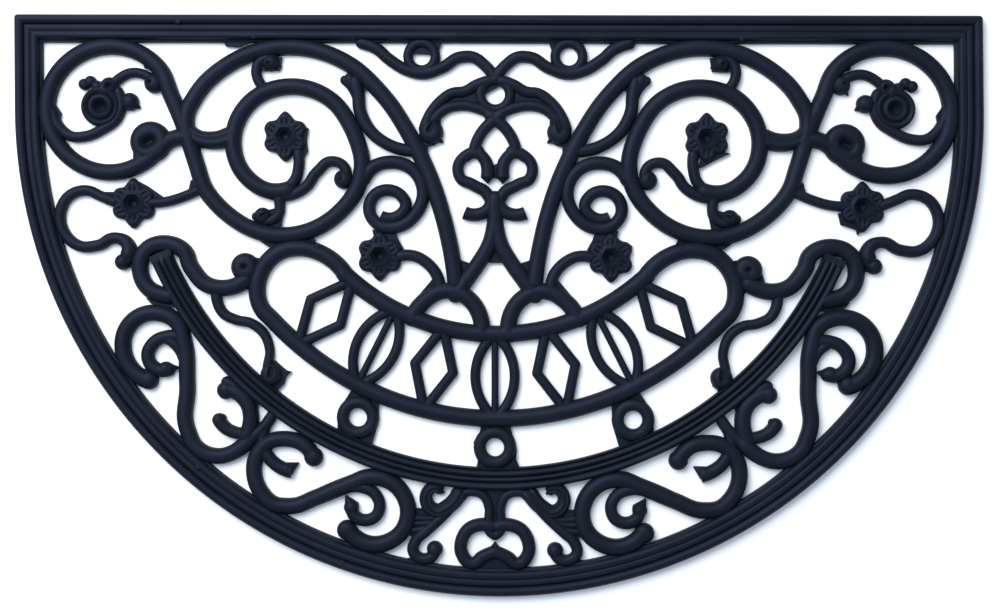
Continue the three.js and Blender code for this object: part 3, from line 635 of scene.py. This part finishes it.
def bar(line, widths, finish="round", ribs=1):
    """A bar along a line, cut into lengths that don't turn far enough to meet themselves."""
    sides = left_of(line)
    half = np.linspace(widths[0], widths[1], len(line)) / 2
    start = round_end(line[0], sides[0], half[0], -1)
    line, sides, half = (np.concatenate([a[::-1], b]) for a, b in zip(start, (line, sides, half)))
    if finish == "round":
        stop = round_end(line[-1], sides[-1], half[-1], 1)
        line, sides, half = (np.concatenate([a, b]) for a, b in zip((line, sides, half), stop))
    loops = sections(line, sides, half, ribs)
    cross = sides[:-1, 0] * sides[1:, 1] - sides[:-1, 1] * sides[1:, 0]
    turning = np.concatenate([[0], np.cumsum(np.abs(np.arcsin(np.clip(cross, -1, 1))))])
    lengths = (np.degrees(turning) / LONGEST_TURN).astype(int)
    cuts = np.flatnonzero(np.diff(lengths)) + 1
    starts = [0, *cuts]
    stops = [*cuts, len(loops) - 1]
    return [lofted(loops[a:b + 1]) for a, b in zip(starts, stops)]


def turned(profile, x, y, sides=DISC_SIDES):
    """A profile of radii and heights turned about the upright axis through (x, y)."""
    radii, heights = np.array(profile, float).T
    plane = polar(radii[:, None], np.arange(sides) * 360 / sides, x, y)
    height = np.broadcast_to(heights[:, None, None], (len(radii), sides, 1))
    return lofted(np.concatenate([plane, height], -1))


def mirrored_points(points):
    """The same points on the right half."""
    return [(-x, y) for x, y in points]


def mirrored(rows):
    """The rows of a table, and the same rows for the right half."""
    others = [{**row, "x": -row["x"]} for row in rows]
    for row in others:
        if "to" in row:
            row["to"] = mirrored_points([row["to"]])[0]
    return [*rows, *others]


def collection_of(name):
    """The collection of that name, made where it isn't there yet."""
    found = bpy.data.collections.get(name)
    if found is None:
        found = bpy.data.collections.new(name)
        bpy.context.scene.collection.children.link(found)
    return found


def raised(name, surfaces, place="shapes"):
    """Puts each surface as an object in the collection of what is joined, or cut away, later."""
    for points, faces in surfaces:
        mesh = bpy.data.meshes.new(name)
        mesh.from_pydata((points * MM).tolist(), [], faces)
        collection_of(place).objects.link(bpy.data.objects.new(name, mesh))


def rolls(table, width):
    """A section of rolls side by side, from its first foot to its last. Each is half an ellipse:
    across = middle - half cos a, and height = low + (crown - low) sin a."""
    across, height = [np.zeros(1)], [np.zeros(1)]
    for row in table:
        angle = np.linspace(0, np.pi, row["steps"] + 1)
        share = (1 - np.cos(angle)) / 2
        low = row["lows"][0] * (1 - share) + row["lows"][1] * share
        last = slice(None) if row is table[-1] else slice(None, -1)
        across.append((row["start"] + (row["finish"] - row["start"]) * share)[last])
        height.append((low + (row["crown"] - low) * np.sin(angle))[last])
    drawn = table[-1]["finish"]
    return np.concatenate([*across, [drawn]]) * width / drawn, np.concatenate([*height, [0]])


def rim_outline(inset):
    """The mat's outline moved in by the inset, anticlockwise: half circle, then the upper corners."""
    side, top = HALF_WIDTH - inset, TOP_EDGE - inset
    corner = max(RIM_CORNER - inset, SHARPEST_CORNER)
    arc = polar(side, np.linspace(-90, 90, RIM_ARC_STEPS + 1))
    right = polar(corner, np.linspace(90, 180, RIM_CORNER_STEPS + 1), side - corner, top - corner)
    left = polar(corner, np.linspace(180, 270, RIM_CORNER_STEPS + 1), corner - side, top - corner)
    return np.concatenate([arc, right, left])


def rim_surface(width):
    """The rim: its rolls carried round the mat's outline, each as an outline of its own."""
    inset, height = rolls(RIM_ROLLS, width)
    inset, height = inset[::-1], height[::-1]
    plane = np.stack([rim_outline(d) for d in inset], 1)
    rise = np.broadcast_to(height[None, :, None], (*plane.shape[:2], 1))
    return lofted(np.concatenate([plane, rise], -1), closed=True)


def band_surface(width):
    """The reeded band: its rolls carried along an arc of the mat's own middle. They stop short of
    its square ends, where the band is flat."""
    inset, height = rolls(BAND_ROLLS, width)
    inset, height = inset[::-1], height[::-1]
    reeded = BAND_HALF_ANGLE - BAND_END
    middle = np.linspace(-reeded, reeded, BAND_STEPS + 1)
    ends = np.array([reeded + BAND_END_START, BAND_HALF_ANGLE])
    angles = np.concatenate([-ends[::-1], middle, ends])
    radius = BAND_RADIUS + width / 2 - inset
    plane = polar(radius[None, :], angles[:, None])
    flat = np.abs(angles)[:, None] > reeded + BAND_END_START / 2
    rise = np.where(flat & (height > 0), BAND_END_HEIGHT, height)[..., None]
    return lofted(np.concatenate([plane, rise], -1))


def motif_bars(count, width):
    """Lozenges and pointed leaves in turn, from the arched frame's upper bar to its lower one."""
    middle = (UPPER_FRAME_RADIUS + LOWER_FRAME_RADIUS) / 2
    spread = np.degrees(MOTIF_HALF_WIDTH / middle)
    surfaces = []
    for i in range(count):
        angle = (i - (count - 1) / 2) * MOTIF_PITCH
        up, down = polar(UPPER_FRAME_RADIUS, angle), polar(LOWER_FRAME_RADIUS, angle)
        leaf = i % 2 == 1
        for side in (-1, 1):
            out = polar(middle, angle + side * spread)
            runs = [[up, out, down]] if leaf else [[up, out], [out, down]]
            for run in runs:
                surfaces += bar(middle_line(run), (width, width))
        if leaf:
            surfaces += bar(middle_line([up, down]), (MIDRIB_BAR, MIDRIB_BAR))
    return surfaces


def ring_surface(x, y, radius, width):
    """A ring: the bar's section carried round a circle."""
    line = polar(radius, np.arange(DISC_SIDES) * 360 / DISC_SIDES, x, y)
    half = np.full(len(line), width / 2)
    return lofted(sections(line, left_of(line, closed=True), half), closed=True)


def curl_surface(x, y, radius):
    """A round curl: r = radius - edge (1 - cos a) and z = wall + edge sin a, for a up to nearly a
    quarter turn, then flat to the middle."""
    edge = min(radius, THICKNESS - WALL)
    angle = np.radians([0, *END_TURNS])
    profile = [(radius, 0), *zip(radius - edge * (1 - np.cos(angle)), WALL + edge * np.sin(angle))]
    return turned(profile, x, y)


def eye_tool(row, floor):
    """What is cut away for an eye: a funnel, where z - lowest is the rise times a power of sin (a
    quarter turn r / radius). It is as deep as it is wide but for its steepness, and no deeper than
    the floor. In an oval eye r is taken from the nearer of its middle and its far end."""
    radius = row["radius"]
    lowest = max(floor, THICKNESS - EYE_STEEPNESS * radius)
    share = np.linspace(EYE_NARROWEST, 1, EYE_LEVELS)
    funnel = lowest + (THICKNESS - lowest) * np.sin(share * np.pi / 2) ** EYE_CURVE
    middle = np.array([row["x"], row["y"]])
    far = np.array(row.get("to", middle))
    outward = polar(1, np.arange(EYE_SIDES) * 360 / EYE_SIDES, 0, 0)
    nearer = np.where((outward @ (far - middle) > 0)[:, None], far, middle)
    plane = nearer + outward * (radius * np.append(share, 1))[:, None, None]
    height = np.broadcast_to(np.append(funnel, TOOL_TOP)[:, None, None], (EYE_LEVELS + 1, EYE_SIDES, 1))
    return lofted(np.concatenate([plane, height], -1))


def bump(distance, width):
    """1 in the middle and falling off to nothing on both sides, as a bell."""
    return np.exp(-(distance / width) ** 2)


def eased(share):
    """0 up to share 0 and 1 from share 1, and smooth between them: 3 s2 - 2 s3."""
    share = np.clip(share, 0, 1)
    return share * share * (3 - 2 * share)


def flower_surface(x, y):
    """A flower as height over radius and angle. Each petal is an oval raised above the ground
    between the petals, with a vein's groove on either side of its middle; round the middle lies a
    raised ring about a deep dimple, and the outline is rounded down."""
    degrees = np.arange(FLOWER_SIDES) * 360 / FLOWER_SIDES
    pitch = 360 / PETALS
    off = (degrees + pitch / 2) % pitch - pitch / 2
    upright = np.abs(np.cos(np.radians(degrees - off))) > UPRIGHT
    reach = PETAL_REACH + (TIP_REACH - PETAL_REACH) * upright * bump(off, TIP_SPREAD)
    outline = reach * (1 - PETAL_NOTCH * np.abs(np.sin(np.pi * off / pitch)) ** NOTCH_POWER)
    share = np.concatenate([np.linspace(*LIP_RINGS), np.linspace(*FACE_RINGS)])[:, None]
    radius = share * (outline * share ** 2 + PETAL_REACH * ROUND_REACH * (1 - share ** 2))
    arc = np.radians(np.abs(off)) * radius
    length = np.clip(1 - ((radius - PETAL_MIDDLE) * 2 / PETAL_LENGTH) ** 2, 0, 1)
    half = PETAL_HALF_WIDTH * np.sqrt(length)
    inside = eased((half - arc) / PETAL_EDGE + 0.5) * eased(length * PETAL_BLUNTNESS)
    veined = eased((radius - VEINS_FROM) / VEIN_FADE) * eased((VEINS_TO - radius) / VEIN_FADE)
    height = PETAL_GROUND + PETAL_RISE * inside
    height = height - VEIN_DEPTH * bump(arc - VEIN_PLACE * half, VEIN_WIDTH) * inside * veined
    height = height + RING_RISE * bump(radius - FLOWER_RING, RING_SPREAD)
    height = height - DIMPLE_DEPTH * eased((DIMPLE_REACH - radius) / DIMPLE_WALL)
    height = height - (height - WALL) * share ** LIP_POWER
    radius = np.concatenate([radius[:1], radius])
    height = np.concatenate([np.zeros((1, FLOWER_SIDES)), height])
    plane = polar(radius, degrees[None, :], x, y)
    return lofted(np.concatenate([plane, height[..., None]], -1))


def plate_surface(corners):
    """A low flat plate with those corners, whichever way round they are given."""
    corners = np.array(corners, float)
    x, y = corners.T
    if x @ np.roll(y, -1) < y @ np.roll(x, -1):
        corners = corners[::-1]
    levels = [np.column_stack([corners, np.full(len(corners), z)]) for z in (0, WEB_HEIGHT)]
    return lofted(np.stack(levels))


def lie(points, lean, sway):
    """The mat doesn't lie quite true: x moves by (lean + sway (x / half width)2) (y - arc y) / half
    width, where arc y is the level at which the mat is widest. It is then centred again."""
    x, y = points[:, 0], points[:, 1]
    aside = (lean + sway * (x / HALF_WIDTH) ** 2) * (y - ARC_Y) / HALF_WIDTH
    lain = points + np.outer(aside, (1, 0, 0))
    lain[:, 0] -= (lain[:, 0].min() + lain[:, 0].max()) / 2
    return lain


class RaiseRim(bpy.types.Operator):
    """Raises the rim of rolls with its mitred corners."""

    bl_idname = "doormat.rim"
    bl_label = "Rim"

    def execute(self, context):
        raised("rim", [rim_surface(context.scene.doormat_sizes.rim_width / MM)])
        return {"FINISHED"}


class RaiseBand(bpy.types.Operator):
    """Raises the reeded band that follows the round edge."""

    bl_idname = "doormat.band"
    bl_label = "Reeded band"

    def execute(self, context):
        raised("reeded band", [band_surface(context.scene.doormat_sizes.band_width / MM)])
        return {"FINISHED"}


class RaiseFrame(bpy.types.Operator):
    """Raises the two arched bars and the lozenges and leaves between them."""

    bl_idname = "doormat.frame"
    bl_label = "Arched frame"

    def execute(self, context):
        sizes = context.scene.doormat_sizes
        width = sizes.frame_bar / MM
        arches = [
            (LOWER_FRAME_RADIUS, LOWER_FRAME_HALF_ANGLE),
            (UPPER_FRAME_RADIUS, UPPER_FRAME_HALF_ANGLE),
        ]
        for radius, half_angle in arches:
            line = polar(radius, np.linspace(-half_angle, half_angle, FRAME_STEPS + 1))
            raised("arched bar", bar(line, (width, width)))
        raised("motif", motif_bars(sizes.motif_count, sizes.motif_bar / MM))
        return {"FINISHED"}


class RaiseScrolls(bpy.types.Operator):
    """Raises the scroll bars of both halves, and their small leaf tips."""

    bl_idname = "doormat.scrolls"
    bl_label = "Scroll bars"

    def execute(self, context):
        for row in BARS:
            finish, ribs = row.get("finish", "round"), row.get("ribs", 1)
            for knots in (row["knots"], mirrored_points(row["knots"])):
                raised(row["name"], bar(middle_line(knots), row["widths"], finish, ribs))
        for row in TIPS:
            ends = [row["root"], row["point"]]
            for knots in (ends, mirrored_points(ends)):
                raised(row["name"], bar(middle_line(knots), (row["width"], TIP_WIDTH), "flat"))
        return {"FINISHED"}


class RaiseCurls(bpy.types.Operator):
    """Raises the round curls, rings and flowers of both halves."""

    bl_idname = "doormat.curls"
    bl_label = "Curls, rings and flowers"

    def execute(self, context):
        for row in mirrored(CURLS):
            raised(row["name"], [curl_surface(row["x"], row["y"], row["radius"])])
        for row in [*mirrored(RINGS), *MIDDLE_RINGS]:
            raised(row["name"], [ring_surface(row["x"], row["y"], row["radius"], row["width"])])
        for row in mirrored(FLOWERS):
            raised(row["name"], [flower_surface(row["x"], row["y"])])
        for row in mirrored([ROSETTE]):
            raised(row["name"], [turned(ROSETTE_PROFILE, row["x"], row["y"])])
        return {"FINISHED"}


class RaiseFlash(bpy.types.Operator):
    """Raises what the mould leaves: low flash in its corners, and the pips of its vents."""

    bl_idname = "doormat.flash"
    bl_label = "Flash and vent pips"

    def execute(self, context):
        for row in WEBS:
            for corners in (row["corners"], mirrored_points(row["corners"])):
                raised(row["name"], [plate_surface(corners)])
        for row in SINGLE_WEBS:
            raised(row["name"], [plate_surface(row["corners"])])
        for row in PIPS:
            raised(row["name"], [turned(PIP_PROFILE, row["x"], row["y"], EYE_SIDES)])
        return {"FINISHED"}


def combine(target, tools, operation):
    """Joins the collection's shapes to the target, or cuts them away from it, and clears them."""
    modifier = target.modifiers.new(operation, "BOOLEAN")
    modifier.operand_type = "COLLECTION"
    modifier.collection = tools
    modifier.operation = operation
    modifier.solver = "MANIFOLD"
    depsgraph = bpy.context.evaluated_depsgraph_get()
    target.data = bpy.data.meshes.new_from_object(target.evaluated_get(depsgraph))
    target.modifiers.clear()
    for tool in [*tools.objects]:
        bpy.data.objects.remove(tool)
    bpy.data.collections.remove(tools)


class Mould(bpy.types.Operator):
    """Joins the raised shapes into one solid."""

    bl_idname = "doormat.mould"
    bl_label = "Mould in one piece"

    def execute(self, context):
        shapes = collection_of("shapes")
        mat = shapes.objects[0]
        shapes.objects.unlink(mat)
        context.scene.collection.objects.link(mat)
        mat.name = "doormat"
        combine(mat, shapes, "UNION")
        return {"FINISHED"}


class SinkEyes(bpy.types.Operator):
    """Sinks the eyes of the curls into the moulded mat."""

    bl_idname = "doormat.eyes"
    bl_label = "Eyes of the curls"

    def execute(self, context):
        floor = context.scene.doormat_sizes.eye_floor / MM
        for row in [*mirrored(EYES), *MIDDLE_EYES]:
            raised(row["name"], [eye_tool(row, floor)], "eyes")
        combine(bpy.data.objects["doormat"], collection_of("eyes"), "DIFFERENCE")
        return {"FINISHED"}


class LayDown(bpy.types.Operator):
    """Lays the mat as it lies in use, smooths its rolls and gives it its rubber."""

    bl_idname = "doormat.lay"
    bl_label = "Lay down"

    def execute(self, context):
        sizes = context.scene.doormat_sizes
        mat = bpy.data.objects["doormat"]
        mesh = mat.data
        points = np.empty(len(mesh.vertices) * 3)
        mesh.vertices.foreach_get("co", points)
        lain = lie(points.reshape(-1, 3) / MM, sizes.lean / MM, sizes.sway / MM)
        mesh.vertices.foreach_set("co", (lain * MM).ravel())
        mesh.polygons.foreach_set("use_smooth", np.ones(len(mesh.polygons), bool))
        mesh.set_sharp_from_angle(angle=np.radians(SHARP_ANGLE))
        mesh.materials.clear()
        mesh.materials.append(moulded_rubber(context.scene.doormat_looks))
        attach(mat, "root")
        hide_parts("mat")
        return {"FINISHED"}


def node(tree, kind, inputs=(), **settings):
    """A new node with its settings, and its inputs set to a value or linked to a socket."""
    made = tree.nodes.new(kind)
    for name, value in settings.items():
        setattr(made, name, value)
    for name, value in dict(inputs).items():
        if isinstance(value, bpy.types.NodeSocket):
            tree.links.new(value, made.inputs[name])
        else:
            made.inputs[name].default_value = value
    return made


def moulded_rubber(looks):
    """Recycled tyre rubber, hot pressed in an open mould: matt blue-black, with a soft sheen on the
    crowns, a fine granular skin and faint paler bloom, so light on it is broad and never sharp. The
    crumb of the real skin is finer than a pixel, so its grain is drawn a little coarser."""
    material = bpy.data.materials.new("moulded recycled rubber")
    material.use_nodes = True
    tree = material.node_tree
    tree.nodes.clear()
    place = node(tree, "ShaderNodeTexCoord").outputs["Object"]
    grain = node(tree, "ShaderNodeTexNoise", {"Vector": place, "Scale": 1 / looks.grain, "Detail": 3.0})
    bloom = node(tree, "ShaderNodeTexNoise", {"Vector": place, "Scale": 1 / BLOOM_SIZE, "Detail": 4.0})
    shade = node(tree, "ShaderNodeValToRGB", {"Fac": bloom.outputs["Fac"]})
    colours = (looks.rubber_dark, looks.rubber_pale)
    for stop, position, colour in zip(shade.color_ramp.elements, BLOOM_RANGE, colours):
        stop.position = position
        stop.color = colour
    skin = node(tree, "ShaderNodeBump", {
        "Height": grain.outputs["Fac"], "Strength": CRUMB_STRENGTH, "Distance": CRUMB_HEIGHT,
    })
    finish = node(tree, "ShaderNodeBsdfPrincipled", {
        "Base Color": shade.outputs["Color"],
        "Roughness": looks.roughness,
        "IOR": RUBBER_IOR,
        "Specular IOR Level": RUBBER_SPECULAR,
        "Specular Tint": linear("BFD0FF"),
        "Normal": skin.outputs["Normal"],
    })
    node(tree, "ShaderNodeOutputMaterial", {"Surface": finish.outputs["BSDF"]})
    return material


class Stage(bpy.types.Operator):
    """Lays the pale floor, the studio light and the camera over the mat."""

    bl_idname = "doormat.stage"
    bl_label = "Stage"

    def execute(self, context):
        looks = context.scene.doormat_looks
        mesh = bpy.data.meshes.new("floor")
        reach = FLOOR_REACH
        corners = [(-reach, -reach, FLOOR_DROP), (reach, -reach, FLOOR_DROP),
                   (reach, reach, FLOOR_DROP), (-reach, reach, FLOOR_DROP)]
        mesh.from_pydata(corners, [], [(0, 1, 2, 3)])
        floor = bpy.data.objects.new("floor", mesh)
        context.scene.collection.objects.link(floor)
        material = bpy.data.materials.new("white paper sweep")
        material.use_nodes = True
        shader = material.node_tree.nodes["Principled BSDF"]
        shader.inputs["Base Color"].default_value = looks.floor
        shader.inputs["Roughness"].default_value = PAPER_ROUGHNESS
        mesh.materials.append(material)

        world = bpy.data.worlds.new("studio")
        world.use_nodes = True
        background = world.node_tree.nodes["Background"]
        background.inputs["Color"].default_value = linear("F4F7FF")
        background.inputs["Strength"].default_value = looks.sky
        context.scene.world = world

        light = bpy.data.lights.new("softbox", "AREA")
        light.shape = "RECTANGLE"
        light.size, light.size_y = LAMP_SIZE
        light.energy = looks.lamp_power
        lamp = bpy.data.objects.new("softbox", light)
        lamp.location = LAMP_PLACE
        lamp.rotation_euler = (-Vector(LAMP_PLACE)).to_track_quat("-Z", "Y").to_euler()
        context.scene.collection.objects.link(lamp)

        camera = bpy.data.cameras.new("camera")
        camera.lens = looks.lens
        camera.sensor_width = CAMERA_SENSOR
        holder = bpy.data.objects.new("camera", camera)
        holder.location = CAMERA_PLACE
        holder.rotation_euler = np.radians(CAMERA_TURN)
        context.scene.collection.objects.link(holder)
        context.scene.camera = holder
        context.scene.view_settings.view_transform = "Standard"
        return {"FINISHED"}


SETTINGS = {"doormat_sizes": DoormatSizes, "doormat_looks": DoormatLooks}
OPERATORS = [
    RaiseRim, RaiseBand, RaiseFrame, RaiseScrolls, RaiseCurls, RaiseFlash, Mould, SinkEyes,
    LayDown, Stage,
]


class DoormatPanel(bpy.types.Panel):
    """Shows the mat's sizes and looks, and the steps that make it in their order."""

    bl_idname = "VIEW3D_PT_doormat"
    bl_label = "Doormat"
    bl_space_type = "VIEW_3D"
    bl_region_type = "UI"
    bl_category = "Doormat"

    def draw(self, context):
        for name, group in SETTINGS.items():
            column = self.layout.column()
            for setting in group.__annotations__:
                column.prop(getattr(context.scene, name), setting)
        for operator in OPERATORS:
            self.layout.operator(operator.bl_idname)


def register():
    for name, group in SETTINGS.items():
        bpy.utils.register_class(group)
        setattr(bpy.types.Scene, name, PointerProperty(type=group))
    for made in [*OPERATORS, DoormatPanel]:
        bpy.utils.register_class(made)


def unregister():
    for made in [DoormatPanel, *reversed(OPERATORS)]:
        bpy.utils.unregister_class(made)
    for name, group in SETTINGS.items():
        delattr(bpy.types.Scene, name)
        bpy.utils.unregister_class(group)


def main():
    register()
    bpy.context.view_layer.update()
    for step in OPERATORS:
        group, name = step.bl_idname.split(".")
        getattr(getattr(bpy.ops, group), name)()


if __name__ == "__main__":
    main()
